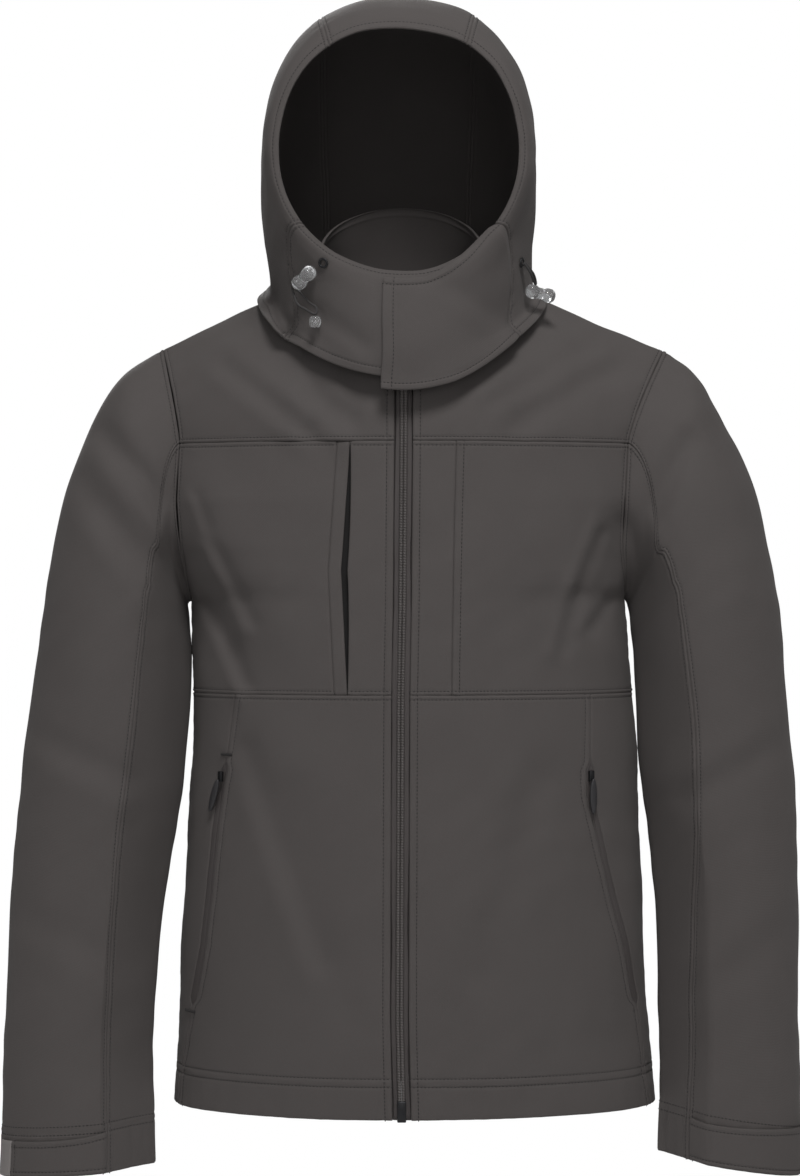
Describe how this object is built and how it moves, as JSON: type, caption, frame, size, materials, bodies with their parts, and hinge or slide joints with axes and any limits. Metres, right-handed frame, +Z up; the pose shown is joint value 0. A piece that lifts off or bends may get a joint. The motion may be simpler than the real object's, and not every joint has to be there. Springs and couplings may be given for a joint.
{
  "type": "hooded softshell jacket",
  "caption": "Filled-out hooded softshell jacket with a front zip, chin flap, a welt chest pocket, zipped hand pockets, cuff tabs and a draw-cord hood.",
  "frame": {"origin": "between the wearer's shoulders, level with the top of the shoulder seams at the neck, where the jacket is held up", "axes": "+Z up, front of the jacket towards -Y, wearer's left towards +X"},
  "size_m": [0.7017, 0.258, 1.024],
  "materials": {
    "shell_cloth": "matt bonded softshell, warm dark grey",
    "zip_tape": "woven tape, darker grey",
    "zip_chain": "moulded coil",
    "dark_metal": "gunmetal, satin",
    "pull": "black moulded",
    "clear_plastic": "clear, glossy",
    "tab_end": "lighter grey, matt",
    "cord": "round braid, dark grey"
  },
  "bodies": {
    "garment": {"lower_front_r": "shell_cloth", "side_front_r": "shell_cloth", "chest_inner_r": "shell_cloth", "chest_pocket_welt_r": "shell_cloth", "chest_outer_r": "shell_cloth", "chest_pocket_back_r": "shell_cloth", "front_yoke_r": "shell_cloth", "lower_front_l": "shell_cloth", "side_front_l": "shell_cloth", "chest_inner_l": "shell_cloth", "chest_outer_l": "shell_cloth", "front_yoke_l": "shell_cloth", "back": "shell_cloth", "sleeve_upper_r": "shell_cloth", "sleeve_under_r": "shell_cloth", "cuff_tab_r": "shell_cloth", "cuff_tab_end_r": "tab_end", "sleeve_upper_l": "shell_cloth", "sleeve_under_l": "shell_cloth", "cuff_tab_l": "shell_cloth", "cuff_tab_end_l": "tab_end", "hood_centre": "shell_cloth", "hood_side_r": "shell_cloth", "hood_side_l": "shell_cloth", "hood_chin_r": "shell_cloth", "hood_flap_l": "shell_cloth", "collar": "shell_cloth", "zip_tape_r": "zip_tape", "zip_tape_l": "zip_tape", "zip_chain": "zip_chain", "zip_box": "dark_metal", "zip_slider": "dark_metal", "pocket_zip_r": "zip_tape", "pocket_slider_r": "dark_metal", "pocket_zip_l": "zip_tape", "pocket_slider_l": "dark_metal", "eyelet_r": "dark_metal", "eyelet_l": "dark_metal", "cord_lock_r": "clear_plastic", "cord_end_r": "clear_plastic", "hood_cord_r": "cord", "cord_lock_l": "clear_plastic", "hood_cord_l": "cord"},
    "pull_right": {"pocket_pull_r": "pull"},
    "pull_left": {"pocket_pull_l": "pull"}
  },
  "joints": [
    {"name": "pocket_pull_right_swing", "type": "hinge", "parent": "garment", "child": "pull_right", "pos_m": [-0.15641, -0.07303, -0.4395], "axis": [-0.6873, 0.7263, 0], "range_deg": [0, 90]},
    {"name": "pocket_pull_left_swing", "type": "hinge", "parent": "garment", "child": "pull_left", "pos_m": [0.16581, -0.0798, -0.4385], "axis": [-0.8089, -0.5879, 0], "range_deg": [0, 90]}
  ]
}
